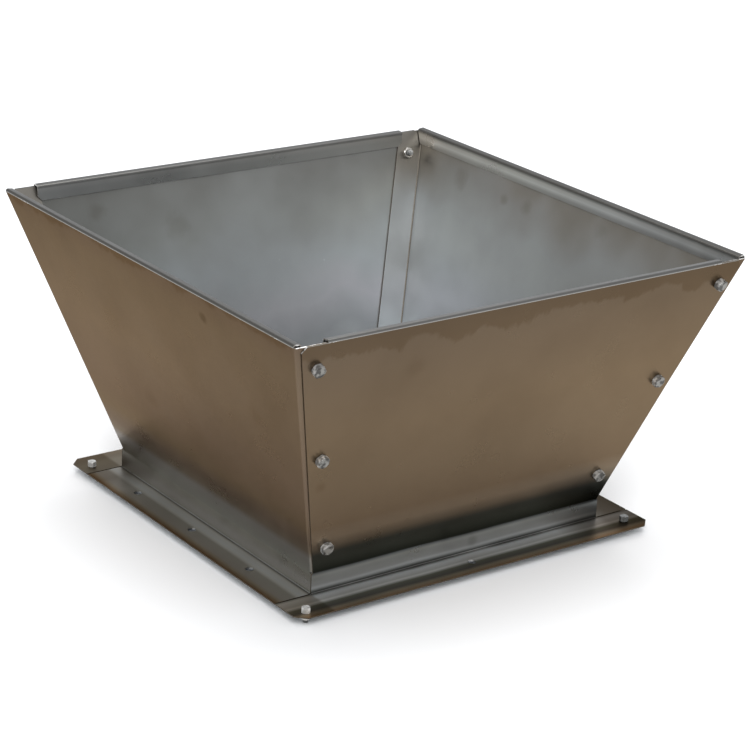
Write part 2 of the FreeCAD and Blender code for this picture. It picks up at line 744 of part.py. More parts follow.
def spider_arm():
    """Arm along +X: twisted from the level disc to the blade's pitch, then straight."""
    def section(x, angle):
        half = spider_sheet / 2
        points = []
        for y, z in ((-spider_arm_half, -half), (spider_arm_half, -half),
                     (spider_arm_half, half), (-spider_arm_half, half)):
            turn = math.radians(angle)
            points.append(Vec(x, y * math.cos(turn) - z * math.sin(turn),
                              y * math.sin(turn) + z * math.cos(turn)))
        return Part.makePolygon(points + [points[0]])
    twist = Part.makeLoft([section(spider_flat, 0), section(spider_twist_end, blade_pitch)],
                          True, True)
    twist.translate(Vec(0, 0, fan_mid))
    half = spider_sheet / 2
    pad = box(spider_twist_end, spider_arm_end, -spider_arm_half, spider_arm_half, -half, half)
    tips = [edge for edge in pad.Edges
            if abs(edge.Length - spider_sheet) < 0.01 and edge.CenterOfMass.x > 60]
    return twist, pitched(pad.makeFillet(6.0, tips))


def blade():
    """Cambered blade on the spider arm's lower face, cut to an outline with round corners."""
    seat = -spider_sheet / 2
    reach = blade_tip_half + 6
    sweep = (reach - blade_flat_half) / blade_camber
    edges = []
    for side in (-1, 1):
        for level, radius in ((seat, blade_camber), (seat - blade_sheet, blade_camber - blade_sheet)):
            centre = Vec(blade_root, side * blade_flat_half, seat - blade_camber)
            points = [centre + Vec(0, side * radius * math.sin(a), radius * math.cos(a))
                      for a in (0, sweep / 2, sweep)]
            edges.append(Part.Arc(*points))
        edges.append(Part.LineSegment(edges[-2].EndPoint, edges[-1].EndPoint))
    for level in (seat, seat - blade_sheet):
        edges.append(Part.LineSegment(Vec(blade_root, -blade_flat_half, level),
                                      Vec(blade_root, blade_flat_half, level)))
    face = Part.Face(Part.Wire(Part.__sortEdges__([edge.toShape() for edge in edges])))
    body = face.extrude(Vec(blade_tip, 0, 0))
    outline = prism([(blade_root, -blade_root_half), (blade_tip + 12, -blade_tip_half),
                     (blade_tip + 12, blade_tip_half), (blade_root, blade_root_half)], -60, 60)
    roots = [edge for edge in outline.Edges
             if abs(edge.Length - 120) < 0.01 and edge.CenterOfMass.x < blade_root + 1]
    body = body.common(outline.makeFillet(blade_corner / 2, roots))
    for x in blade_rivet_stations():
        for y in (-8, 8):
            body = body.cut(rod(rivet_radius, Vec(x, y, -10), Vec(x, y, 10)))
    return pitched(body).common(rod(blade_tip, Vec(0, 0, 0), Vec(0, 0, 100)))


def blade_rivet_stations():
    return (66.0, 84.0)


def rivet(grip, radius, head_radius, head):
    """Rivet through z = 0 down to -grip, with a head on both faces."""
    ball_radius = (head_radius ** 2 + head ** 2) / (2 * head)
    dome = Part.makeSphere(ball_radius, Vec(0, 0, head - ball_radius))
    top = dome.common(rod(head_radius + 1, Vec(0, 0, 0), Vec(0, 0, head + 1)))
    low = top.mirror(Vec(0, 0, -grip / 2), UP)
    return union([top, rod(radius, Vec(0, 0, -grip), Vec(0, 0, 0)), low])


def impeller():
    disc_low = fan_mid - spider_sheet / 2
    disc_high = fan_mid + spider_sheet / 2
    shaft_bore = rod(shaft_radius, Vec(0, 0, 0), Vec(0, 0, motor_roof))
    corner = spider_flat / math.cos(math.pi / blade_count)
    angles = [math.radians(36 + 72 * i) for i in range(blade_count)]
    disc = prism([(corner * math.cos(a), corner * math.sin(a)) for a in angles],
                 disc_low, disc_high)
    twist, pad = spider_arm()
    spider = disc
    for i in range(blade_count):
        spider = spider.fuse(turned(twist, 72 * i)).fuse(turned(pad, 72 * i))
    spider = spider.removeSplitter().cut(shaft_bore)
    hub_places = [(hub_rivet_circle * math.cos(a), hub_rivet_circle * math.sin(a))
                  for a in [math.radians(45 + 90 * i) for i in range(4)]]
    spider = drilled(spider, hub_places, rivet_radius, disc_low - 1, disc_high + 1)
    hole_rows = []
    for x in blade_rivet_stations():
        for y in (-8, 8):
            hole_rows.append((x, y))
    for i in range(blade_count):
        for x, y in hole_rows:
            hole = pitched(rod(rivet_radius, Vec(x, y, -5), Vec(x, y, 5)))
            spider = spider.cut(turned(hole, 72 * i))
    save("fan_spider", spider)
    body = blade()
    save("fan_blades", [turned(body, 72 * i) for i in range(blade_count)])
    pin = rivet(spider_sheet + blade_sheet, rivet_radius, 3.6, 1.8)
    rivets = []
    for i in range(blade_count):
        for x, y in hole_rows:
            copy = pin.copy()
            copy.translate(Vec(x, y, spider_sheet / 2))
            rivets.append(turned(pitched(copy), 72 * i))
    save("blade_rivets", rivets)
    barrel = rod(hub_radius, Vec(0, 0, disc_high), Vec(0, 0, disc_high + hub_length))
    flange = rod(hub_flange, Vec(0, 0, disc_high), Vec(0, 0, disc_high + 3))
    hub = union([barrel, flange]).cut(shaft_bore)
    hub = drilled(hub, hub_places, rivet_radius, disc_high - 1, disc_high + 4)
    screw_level = disc_high + 14
    hub = hub.cut(rod(2.0, Vec(0, 0, screw_level), Vec(hub_radius + 1, 0, screw_level)))
    save("fan_hub", hub.removeSplitter())
    hub_pin = rivet(spider_sheet + 3, rivet_radius, 3.2, 1.6)
    save("hub_rivets", [placed(hub_pin, Vec(x, y, disc_high + 3), UP) for x, y in hub_places])
    grub = rod(2.0, Vec(shaft_radius, 0, screw_level), Vec(hub_radius - 1, 0, screw_level))
    key = hexagon(2.0, 0, 3)
    key = placed(key, Vec(hub_radius - 3.5, 0, screw_level), Vec(1, 0, 0))
    save("hub_set_screw", grub.cut(key))


# ---- terminal box -----------------------------------------------------------------------
def box_rivet_places():
    return [(-17, -(box_back + box_front) / 2), (17, -(box_back + box_front) / 2)]


def terminal_box():
    low = motor_floor
    high = motor_floor + box_height
    body = box(-box_half, box_half, -box_front, -box_back, low, high)
    body = body.cut(box(-box_half + box_sheet, box_half - box_sheet, -box_front - 1,
                        -box_back - box_sheet, low + box_sheet, high - box_sheet))
    lugs = [box(lug_side - 3.5, lug_side + 3.5, -box_front, -box_back - 0.5, low + 0.5, low + 8),
            box(lug_side - 3.5, lug_side + 3.5, -box_front, -box_back - 0.5, high - 8,
                high - 0.5)]
    body = union([body] + lugs)
    lid = box(-box_half, box_half, -box_front - box_sheet, -box_front, low, high)
    screw = pan_screw(1.5, 9.0, 2.9, 2.0)
    screws = []
    for level in (low + 4.5, high - 4.5):
        tapped = rod(1.5, Vec(lug_side, -box_front - 2, level),
                     Vec(lug_side, -box_front + 9.5, level))
        clear = rod(1.7, Vec(lug_side, -box_front - 2, level),
                    Vec(lug_side, -box_front + 1, level))
        body = body.cut(tapped)
        lid = lid.cut(clear)
        screws.append(placed(screw, Vec(lug_side, -box_front - box_sheet, level), Vec(0, -1, 0)))
    body = body.cut(lead_way(3.0))
    gland_seat = Vec(gland_side, -(box_back + box_front) / 2, high)
    body = body.cut(rod(gland_thread, gland_seat - UP * 3, gland_seat + UP))
    body = drilled(body, box_rivet_places(), rivet_radius, low - 1, low + 3)
    save("terminal_box", body)
    save("terminal_box_lid", lid)
    save("lid_screws", screws)
    pin = rivet(box_sheet + motor_plate_thickness, rivet_radius, 3.6, 1.6)
    save("box_rivets", [placed(pin, Vec(x, y, low + box_sheet), UP)
                        for x, y in box_rivet_places()])
    rear = -box_back - box_sheet
    block = box(-22, -2, rear - 12, rear, low + 4, low + 16)
    for x in (-17, -7):
        block = block.cut(rod(2.0, Vec(x, rear - 6, low + 3), Vec(x, rear - 6, low + 17)))
    save("terminal_block", block)
    sleeve = lead_way(3.0).common(box(0, 16, rear, -39, low, high))
    flange = lead_way(4.5).common(box(0, 16, rear - 1.5, rear, low, high))
    save("lead_grommet", union([sleeve, flange]).cut(lead_way(1.8)))
    gland(gland_seat)


def lead_way(radius):
    """Way of the winding leads, from the box through the shell, clear of the bolts."""
    return rod(radius, Vec(lead_side, -box_front + 5, motor_floor + lead_level),
               Vec(lead_side, -36, motor_floor + lead_level))


def gland(seat):
    """Cable gland through the box's top, its axis upright."""
    flats = bevelled(hexagon(20.0, 0, 5), 20.0, 0, 5, False, True)
    thread = rod(gland_thread, Vec(0, 0, -8), Vec(0, 0, 0))
    cap = bevelled(hexagon(18.0, 5, 14), 18.0, 5, 14, True, True)
    dome = Part.makeCone(8.0, 6.0, 4.5, Vec(0, 0, 14))
    body = union([flats, thread, cap, dome])
    body = body.cut(rod(gland_bore, Vec(0, 0, -9), Vec(0, 0, 20)))
    save("cable_gland", placed(body, seat, UP))
    nut = bevelled(hexagon(20.0, 0, 3.5), 20.0, 0, 3.5, True, True)
    nut = nut.cut(rod(gland_thread + thread_play, Vec(0, 0, -1), Vec(0, 0, 5)))
    save("gland_nut", placed(nut, seat - UP * box_sheet, UP * -1))


os.makedirs("parts", exist_ok=True)
cowl_panels()
seam_fasteners()
corner_fasteners()
fan_plate()
motor_support()
support_fasteners()
finger_guard()
motor_housing()
stator()
motor_rotor()
impeller()
terminal_box()
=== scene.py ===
import json
import math
import random

import bmesh
import bpy
from mathutils import Matrix, Vector, noise


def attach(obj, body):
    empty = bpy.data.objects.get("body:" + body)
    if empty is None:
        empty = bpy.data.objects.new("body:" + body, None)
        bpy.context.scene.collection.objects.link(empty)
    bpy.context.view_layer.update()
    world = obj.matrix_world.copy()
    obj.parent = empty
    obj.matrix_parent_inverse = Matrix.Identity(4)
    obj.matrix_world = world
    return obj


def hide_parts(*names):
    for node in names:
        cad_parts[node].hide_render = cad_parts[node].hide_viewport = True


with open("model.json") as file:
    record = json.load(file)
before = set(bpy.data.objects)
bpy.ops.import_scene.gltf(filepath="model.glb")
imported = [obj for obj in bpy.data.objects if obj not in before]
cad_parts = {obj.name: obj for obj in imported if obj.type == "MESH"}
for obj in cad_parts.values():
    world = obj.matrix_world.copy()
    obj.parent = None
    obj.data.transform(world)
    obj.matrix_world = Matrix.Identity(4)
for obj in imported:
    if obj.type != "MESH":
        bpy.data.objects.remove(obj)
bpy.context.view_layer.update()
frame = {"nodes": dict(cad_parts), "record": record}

# Looks of the roof exhaust fan. The four bent sheets of the cowl and their fasteners are
# rebuilt here as finer meshes; the fan in the throat keeps the meshes of the CAD.
# "Front" faces -Y and "left" faces -X, as in the CAD.

MM = 0.001
HOUSING = "housing"

# ---- sizes of the CAD part, in millimetres ------------------------------------------------
SHEET = 1.2
RIM_HALF = 260.0
THROAT_HALF = 173.0
FOOT_HALF = 213.0
FOOT_TOP = 10.0
FOOT_BEND = 1.0
FOOT_CLIP = 10.0
CREASE = 30.0
RIM_TOP = 297.5
HEM_R = 2.0
HEM_WIDTH = 8.5
HEM_TILT = math.radians(7)
LEG_LOW = 281.0
LEG_CLIP = 5.0
HEM_HALF = {"face": 226.5, "side": 256.0}
SEAM_INSET_LOW = 1.6
SEAM_INSET_HIGH = 5.6
SEAM_BEND = 2.5
SEAM_RETURN = 33.0
LAP_GAP = 0.1
RETURN_LOW = 31.0
RETURN_HIGH = 294.5
CLIP = 7.0
ROOF_HOLE = 4.25
ROOF_LINE = 193.0
ROOF_PITCH = 103.0
ROOF_SHIFT = 3.5
ROOF_HOLES = [(side * ROOF_LINE, ROOF_SHIFT + i * ROOF_PITCH) for side in (-1, 1)
              for i in (-1, 0, 1)] + [(0.0, -ROOF_LINE), (0.0, ROOF_LINE)]
SCREW_HOLE = 2.8
SCREW_ACROSS = 8.0
SCREW_TALL = 5.5
SCREW_RADIUS = 2.5
SCREW_LONG = 10.0
SCREW_PITCH = 0.8
SCREW_THREAD = 0.35
SCREW_NUT_TALL = 4.0
BOLT_ACROSS = 11.1
BOLT_TALL = 6.0
BOLT_RADIUS = 3.0
BOLT_LONG = 12.0
BOLT_PITCH = 1.27
BOLT_THREAD = 0.42
BOLT_NUT_TALL = 5.2
NUT_PLAY = 0.02
CORNER_SCREWS = [(-198.5, -202.0), (192.0, -193.5), (192.0, 192.0), (-199.0, 189.0)]
# This corner screw gets a darker copy of the screw head finish, as painted shade.
SHADED_SCREW = CORNER_SCREWS[1]
# Seams by (front or rear, left or right): each bolt's height and its distance from the corner.
SEAM_BOLTS = {(-1, -1): ((50.5, 17.0), (157.0, 18.0), (259.5, 20.0)),
              (-1, 1): ((54.5, 25.0), (159.5, 24.0), (262.0, 20.0)),
              (1, -1): ((50.5, 17.0), (259.5, 20.0)), (1, 1): ((54.5, 25.0), (262.0, 20.0))}

HEM_X = RIM_HALF - HEM_R
HEM_Z = RIM_TOP - HEM_R
RUN = HEM_X - THROAT_HALF
RISE = HEM_Z - CREASE
LEAN = math.atan2(RUN, RISE) + math.asin(HEM_R / math.hypot(RUN, RISE))
SLOPE = math.tan(LEAN)
ACROSS = SHEET / math.cos(LEAN)
WALL_TOP = HEM_Z - HEM_R * math.sin(LEAN)
LEG_X = HEM_X - (HEM_WIDTH - 2 * HEM_R)
LEG_Z = HEM_Z - (HEM_WIDTH - 2 * HEM_R) * math.tan(HEM_TILT)


def wall_half(z):
    """Half width over the walls at a level."""
    return THROAT_HALF + (z - CREASE) * SLOPE


# ---- materials ----------------------------------------------------------------------------
def new_material(name):
    """A node material with its tree and its shader."""
    mat = bpy.data.materials.new(name)
    mat.use_nodes = True
    tree = mat.node_tree
    return mat, tree, tree.nodes["Principled BSDF"]


def add(tree, kind, **settings):
    """A new node with some of its settings changed."""
    node = tree.nodes.new(kind)
    for key, value in settings.items():
        setattr(node, key, value)
    return node


def object_noise(tree, coords, scale, detail=3.0, rough=0.55, stretch=None):
    """Cloudy noise fixed to the object, finer along an axis where stretch is high."""
    source = coords.outputs["Object"]
    if stretch:
        mapping = add(tree, "ShaderNodeMapping")
        mapping.inputs["Scale"].default_value = stretch
        tree.links.new(source, mapping.inputs["Vector"])
        source = mapping.outputs["Vector"]
    tex = add(tree, "ShaderNodeTexNoise")
    tex.inputs["Scale"].default_value = scale
    tex.inputs["Detail"].default_value = detail
    tex.inputs["Roughness"].default_value = rough
    tree.links.new(source, tex.inputs["Vector"])
    return tex.outputs["Fac"]


def remap(tree, value, low, high, out_low, out_high):
    """A value taken softly from one range to another."""
    node = add(tree, "ShaderNodeMapRange", interpolation_type="SMOOTHSTEP")
    tree.links.new(value, node.inputs["Value"])
    for key, number in (("From Min", low), ("From Max", high), ("To Min", out_low),
                        ("To Max", out_high)):
        node.inputs[key].default_value = number
    return node.outputs["Result"]


def mix_colour(tree, factor, a, b):
    """Colour a where the factor is 0 and colour b where it is 1."""
    node = add(tree, "ShaderNodeMix", data_type="RGBA")
    tree.links.new(factor, node.inputs["Factor"])
    sockets = [socket for socket in node.inputs if socket.type == "RGBA"]
    for socket, colour in zip(sockets, (a, b)):
        socket.default_value = (*colour, 1.0)
    return [socket for socket in node.outputs if socket.type == "RGBA"][0]


def tinted(tree, factor, colour, tint):
    """A colour multiplied by a tint where the factor is high."""
    node = add(tree, "ShaderNodeMix", data_type="RGBA", blend_type="MULTIPLY")
    tree.links.new(factor, node.inputs["Factor"])
    sockets = [socket for socket in node.inputs if socket.type == "RGBA"]
    tree.links.new(colour, sockets[0])
    sockets[1].default_value = (*tint, 1.0)
    return [socket for socket in node.outputs if socket.type == "RGBA"][0]


def multiplied(tree, a, b):
    """The product of two colours that both vary over the surface."""
    node = add(tree, "ShaderNodeVectorMath", operation="MULTIPLY")
    tree.links.new(a, node.inputs[0])
    tree.links.new(b, node.inputs[1])
    return node.outputs["Vector"]


def measured(tree, coords, direction):
    """Distance from the origin along a direction of the object."""
    node = add(tree, "ShaderNodeVectorMath", operation="DOT_PRODUCT")
    tree.links.new(coords.outputs["Object"], node.inputs[0])
    node.inputs[1].default_value = direction
    return node.outputs["Value"]


def summed(tree, a, b, factor=1.0):
    """The value a plus factor times b."""
    node = add(tree, "ShaderNodeMath", operation="MULTIPLY_ADD")
    tree.links.new(b, node.inputs[0])
    node.inputs[1].default_value = factor
    tree.links.new(a, node.inputs[2])
    return node.outputs["Value"]


def ramped(tree, value, stops):
    """Colour along a distance: stops are (millimetres, colour) from low to high."""
    low, high = stops[0][0], stops[-1][0]
    fit = add(tree, "ShaderNodeMapRange")
    tree.links.new(value, fit.inputs["Value"])
    fit.inputs["From Min"].default_value = low * MM
    fit.inputs["From Max"].default_value = high * MM
    node = add(tree, "ShaderNodeValToRGB")
    tree.links.new(fit.outputs["Result"], node.inputs["Fac"])
    elements = node.color_ramp.elements
    while len(elements) < len(stops):
        elements.new(0.5)
    for element, (place, colour) in zip(elements, stops):
        element.position = (place - low) / (high - low)
        element.color = (*colour, 1.0)
    return node.outputs["Color"]


def spot(tree, coords, centre, radius, grow=1.0):
    """High inside a soft-edged patch about a point of the object."""
    node = add(tree, "ShaderNodeVectorMath", operation="DISTANCE")
    tree.links.new(coords.outputs["Object"], node.inputs[0])
    node.inputs[1].default_value = [c * MM for c in centre]
    torn = summed(tree, node.outputs["Value"], object_noise(tree, coords, 60.0), radius * MM)
    return remap(tree, torn, 0.7 * radius * MM, 1.5 * radius * MM, grow, 0.0)


def worn(tree, bsdf, coords, roughness, grain):
    """Roughness that varies in clouds and fine rolling lines in the surface."""
    spots = object_noise(tree, coords, 22.0, 4.0, 0.6)
    tree.links.new(remap(tree, spots, 0.3, 0.72, roughness * 0.9, roughness * 1.15),
                   bsdf.inputs["Roughness"])
    lines = object_noise(tree, coords, 30.0, 2.0, 0.5, stretch=(1.0, 1.0, 9.0))
    bump = add(tree, "ShaderNodeBump")
    bump.inputs["Strength"].default_value = grain
    bump.inputs["Distance"].default_value = 0.0002
    tree.links.new(lines, bump.inputs["Height"])
    tree.links.new(bump.outputs["Normal"], bsdf.inputs["Normal"])


def sheet_steel(name, direction, stops, roughness, wobble=0.0, mottle=0.35, top_darkening=None,
                across=None, patches=(), painted_edge_tint=(1.0, 1.0, 1.0)):
    """Stainless sheet whose tone follows stops along a direction, clouded and marked; the stops and
    the factors across carry painted reflections, highlights and shade.
    """
    mat, tree, bsdf = new_material(name)
    coords = add(tree, "ShaderNodeTexCoord")
    level = measured(tree, coords, direction)
    if wobble:
        drift = remap(tree, object_noise(tree, coords, 11.0, 2.0), 0.2, 0.8, -1.0, 1.0)
        level = summed(tree, level, drift, wobble * MM)
    colour = ramped(tree, level, stops)
    cloud = remap(tree, object_noise(tree, coords, 9.0, 4.0, 0.55), 0.35, 0.75, 0.0, mottle)
    colour = tinted(tree, cloud, colour, (0.72, 0.70, 0.68))
    if across:
        colour = multiplied(tree, colour, ramped(tree, measured(tree, coords, across[0]), across[1]))
    # Darker towards the top of the wall, above a level with a ragged lower edge.
    if top_darkening:
        start, ragged_reach = top_darkening
        top_edge_noise = object_noise(tree, coords, 26.0, 4.0, 0.6, stretch=(1.0, 1.0, 0.3))
        reach = summed(tree, measured(tree, coords, (0, 0, 1)),
                       remap(tree, top_edge_noise, 0.3, 0.75, -1.0, 1.0), ragged_reach * MM)
        top_darkening_mask = remap(tree, reach, (start - 3) * MM, (start + 3) * MM, 0.0, 0.85)
        colour = tinted(tree, top_darkening_mask, colour, (0.80, 0.76, 0.70))
    for centre, radius, strength, tint in patches:
        colour = tinted(tree, spot(tree, coords, centre, radius, strength), colour, tint)
    tree.links.new(colour, bsdf.inputs["Base Color"])
    bsdf.inputs["Metallic"].default_value = 1.0
    bsdf.inputs["Specular Tint"].default_value = (*painted_edge_tint, 1.0)
    worn(tree, bsdf, coords, roughness, 0.03)
    return mat


def metal(name, colour, dark, roughness, smudges=0.5):
    """Plain metal with darker clouds."""
    mat, tree, bsdf = new_material(name)
    coords = add(tree, "ShaderNodeTexCoord")
    cloud = object_noise(tree, coords, 14.0, 4.0, 0.6)
    fac = remap(tree, cloud, 0.35, 0.7, 0.0, smudges)
    tree.links.new(mix_colour(tree, fac, colour, dark), bsdf.inputs["Base Color"])
    bsdf.inputs["Metallic"].default_value = 1.0
    worn(tree, bsdf, coords, roughness, 0.04)
    return mat


def plated(name, bright, dark, dirt_and_glint):
    """Bright steel of a fastener or a cut edge, with dark blots that stand partly for dirt and partly
    for painted shade, leaving bright patches as painted glints.
    """
    mat, tree, bsdf = new_material(name)
    coords = add(tree, "ShaderNodeTexCoord")
    dirt_and_glint_blots = remap(tree, object_noise(tree, coords, 210.0, 2.0, 0.5), 0.42, 0.58, 0.0, dirt_and_glint)
    tree.links.new(mix_colour(tree, dirt_and_glint_blots, bright, dark), bsdf.inputs["Base Color"])
    bsdf.inputs["Metallic"].default_value = 0.45
    worn(tree, bsdf, coords, 0.3, 0.04)
    return mat


def simple(name, colour, roughness):
    """Paint, plastic or rubber of one colour, unevenly glossy."""
    mat, tree, bsdf = new_material(name)
    coords = add(tree, "ShaderNodeTexCoord")
    spots = object_noise(tree, coords, 120.0, 3.0, 0.6)
    tree.links.new(remap(tree, spots, 0.3, 0.7, roughness * 0.85, min(1.0, roughness * 1.2)),
                   bsdf.inputs["Roughness"])
    bsdf.inputs["Base Color"].default_value = (*colour, 1.0)
    return mat


# Tones of the sheets as (millimetres, colour): walls, inner faces and rims by level, feet by distance
# from the axis, ends and spreads along the sheet as factors. Apart from the grey of the steel, these
# tones are painted reflections, painted highlights and painted shade.
# Outer walls: the brown is a painted reflection of a brown floor, the pale bands on the upstand and
# just above it are painted reflections of the flange, the near-black band above the front crease is
# painted shade, and the darkening towards the rim is painted shade.
FRONT_OUT = [(11, (0.05, 0.05, 0.048)), (12.6, (0.12, 0.123, 0.117)), (15, (0.32, 0.33, 0.33)),
             (18, (0.245, 0.25, 0.25)), (24, (0.297, 0.31, 0.31)), (27, (0.33, 0.35, 0.35)),
             (29, (0.2, 0.213, 0.225)), (31, (0.018, 0.021, 0.017)), (44, (0.063, 0.068, 0.06)),
             (52, (0.072, 0.077, 0.07)), (60, (0.17, 0.142, 0.11)), (70, (0.228, 0.18, 0.13)),
             (85, (0.184, 0.134, 0.088)), (130, (0.187, 0.138, 0.09)), (190, (0.176, 0.129, 0.083)),
             (297, (0.122, 0.092, 0.065))]
SIDE_OUT = [(12, (0.33, 0.32, 0.285)), (15, (0.28, 0.26, 0.24)), (31, (0.3, 0.298, 0.268)),
            (48, (0.36, 0.35, 0.34)), (56, (0.26, 0.222, 0.178)), (66, (0.21, 0.167, 0.133)),
            (85, (0.194, 0.146, 0.1)), (105, (0.181, 0.133, 0.094)), (130, (0.183, 0.135, 0.097)),
            (190, (0.179, 0.133, 0.092)), (270, (0.148, 0.111, 0.076)),
            (297, (0.126, 0.092, 0.066))]
# Feet: the bright bands near the bend are painted reflections of the upstand and the wall, and the
# brown and dark bands towards the edge are a painted reflection of a brown floor and painted shade.
FRONT_FOOT = [(173, (0.12, 0.12, 0.115)), (175.5, (0.62, 0.62, 0.6)), (178, (0.95, 0.95, 0.95)),
              (187, (0.69, 0.67, 0.63)), (190, (0.95, 0.92, 0.88)),
              (195, (0.257, 0.256, 0.204)), (202, (0.213, 0.195, 0.176)), (207, (0.6, 0.5, 0.38)),
              (213, (0.6, 0.38, 0.22))]
SIDE_FOOT = [(173, (0.18, 0.18, 0.17)), (174.6, (0.21, 0.21, 0.2)), (176, (0.51, 0.51, 0.49)),
             (178, (0.64, 0.66, 0.65)), (184, (0.64, 0.67, 0.68)),
             (187, (0.61, 0.62, 0.6)), (191, (0.37, 0.36, 0.33)),
             (203, (0.35, 0.33, 0.3)), (207, (0.31, 0.267, 0.204)),
             (213, (0.16, 0.091, 0.043))]
# Inner faces: tone by level as painted reflections of the sky and the other walls, with painted shade
# towards the rim.
REAR_IN = [(31, (0.37, 0.38, 0.38)), (100, (0.3, 0.31, 0.32)), (140, (0.4, 0.4, 0.42)),
           (180, (0.36, 0.38, 0.39)), (225, (0.3, 0.31, 0.3)), (280, (0.228, 0.228, 0.215))]
SIDE_IN = [(31, (0.46, 0.48, 0.49)), (100, (0.43, 0.45, 0.46)), (140, (0.4, 0.41, 0.42)),
           (180, (0.4, 0.41, 0.41)), (225, (0.37, 0.38, 0.38)), (280, (0.265, 0.248, 0.22))]
# Rims: the bright bands on the folded legs are painted highlights, and the rear and side rims differ
# in tone as painted light and shade.
REAR_RIM = [(281, (0.58, 0.58, 0.56)), (288, (0.57, 0.57, 0.55)), (293, (0.65, 0.64, 0.62)),
            (295.5, (0.156, 0.153, 0.146)), (297.5, (0.13, 0.127, 0.12))]
SIDE_RIM = [(281, (0.52, 0.51, 0.48)), (284, (0.62, 0.61, 0.58)), (288, (0.95, 0.94, 0.91)),
            (292, (0.8, 0.78, 0.74)), (295.5, (0.1, 0.096, 0.088)), (297.5, (0.08, 0.076, 0.068))]
OUTWARD = {"front": (0, -1, 0), "rear": (0, 1, 0), "left": (-1, 0, 0), "right": (1, 0, 0)}
ALONG = {"front": (1, 0, 0), "rear": (1, 0, 0), "left": (0, 1, 0), "right": (0, 1, 0)}
UPWARD = (0, 0, 1)
# Ends: factors along the feet that darken them towards the corners, as painted shade.
FOOT_ENDS = [(-213, (0.6, 0.57, 0.53)), (-175, (0.6, 0.57, 0.53)), (-172, (1, 1, 1)),
             (115, (1, 1, 1)), (145, (0.5, 0.47, 0.44)), (178, (0.17, 0.155, 0.14)),
             (213, (0.12, 0.11, 0.10))]
SIDE_ENDS = [(-213, (1, 1, 1)), (120, (1, 1, 1)), (152, (0.48, 0.45, 0.42)),
             (213, (0.42, 0.39, 0.36))]
# Spreads: factors across the inner walls, darker at one side and lighter at the other, as painted
# light and shade.
REAR_SPREAD = [(-200, (0.72, 0.72, 0.71)), (-90, (0.86, 0.86, 0.85)), (20, (0.97, 0.97, 0.97)),
               (80, (1.0, 1.0, 1.0)), (130, (1.06, 1.06, 1.06)), (170, (1.1, 1.1, 1.1))]
RIGHT_SPREAD = [(-200, (0.8, 0.79, 0.77)), (-90, (0.82, 0.81, 0.79)), (0, (0.95, 0.95, 0.94)),
                (80, (1.0, 1.0, 1.0)), (200, (1.0, 1.0, 1.0))]
# Right and rear feet: darker tones as painted shade and a painted reflection of a brown floor.
RIGHT_FOOT = [(173, (0.16, 0.148, 0.13)), (190, (0.09, 0.078, 0.065)), (213, (0.06, 0.05, 0.04))]
REAR_FOOT = [(173, (0.22, 0.2, 0.17)), (193, (0.24, 0.215, 0.175)), (202, (0.2, 0.172, 0.138)),
             (213, (0.22, 0.18, 0.135))]

# The bright cut edge finish is a painted glint.
GLINT_CUT_EDGE = plated("cut_edge_painted_glint", (0.70, 0.69, 0.67), (0.12, 0.105, 0.085), 0.9)
# The dark brown cut edge finish is a painted reflection of a brown floor and painted shade.
SHADED_CUT_EDGE = metal("cut_edge_painted_shade", (0.10, 0.082, 0.06), (0.07, 0.057, 0.042), 0.4)
FASTENER = metal("bright_fastener", (0.62, 0.60, 0.57), (0.45, 0.43, 0.40), 0.22)
# The end faces of the bolt heads get a darker copy of the side finish, as painted reflection and
# painted shade.
HEAD_SIDE = plated("plated_side", (0.50, 0.50, 0.49), (0.05, 0.048, 0.044), 0.7)
HEAD_END_SHADED = plated("plated_end_painted_shade", (0.21, 0.205, 0.19), (0.028, 0.026, 0.023), 0.9)
SCREW_HEAD = plated("plated_screw", (0.66, 0.66, 0.64), (0.22, 0.21, 0.195), 0.5)
# Darker copy of the screw head finish, as painted shade on one screw.
SHADED_SCREW_HEAD = plated("screw_painted_shade", (0.20, 0.205, 0.20), (0.07, 0.068, 0.06), 0.6)
# The inner faces of the corner bends get a dark finish as a painted shadow of the seam.
SEAM_SHADOW = metal("seam_painted_shadow", (0.13, 0.115, 0.095), (0.09, 0.08, 0.065), 0.4)
GALV = metal("galvanised_sheet", (0.44, 0.46, 0.47), (0.31, 0.33, 0.345), 0.4, smudges=0.8)
ZINC = metal("zinc_steel", (0.46, 0.47, 0.48), (0.34, 0.35, 0.36), 0.34)
ENAMEL = simple("motor_enamel", (0.03, 0.03, 0.032), 0.35)
ALUMINIUM = metal("blade_aluminium", (0.60, 0.61, 0.62), (0.48, 0.49, 0.51), 0.36)
LAMINATION = metal("lamination_steel", (0.30, 0.29, 0.28), (0.22, 0.21, 0.20), 0.5)
COPPER = metal("winding_copper", (0.60, 0.28, 0.12), (0.45, 0.18, 0.07), 0.35)
BRONZE = metal("bearing_bronze", (0.60, 0.44, 0.22), (0.45, 0.32, 0.15), 0.4)
STAINLESS = metal("plain_stainless", (0.4, 0.4, 0.4), (0.33, 0.33, 0.33), 0.3)
PLASTIC = simple("black_plastic", (0.035, 0.035, 0.037), 0.5)
RUBBER = simple("grommet_rubber", (0.02, 0.02, 0.02), 0.7)


OUTSIDE, INSIDE, CUT, FOOT, RIM, SHADED_EDGE_SLOT, BEND_SHADOW_SLOT = range(7)


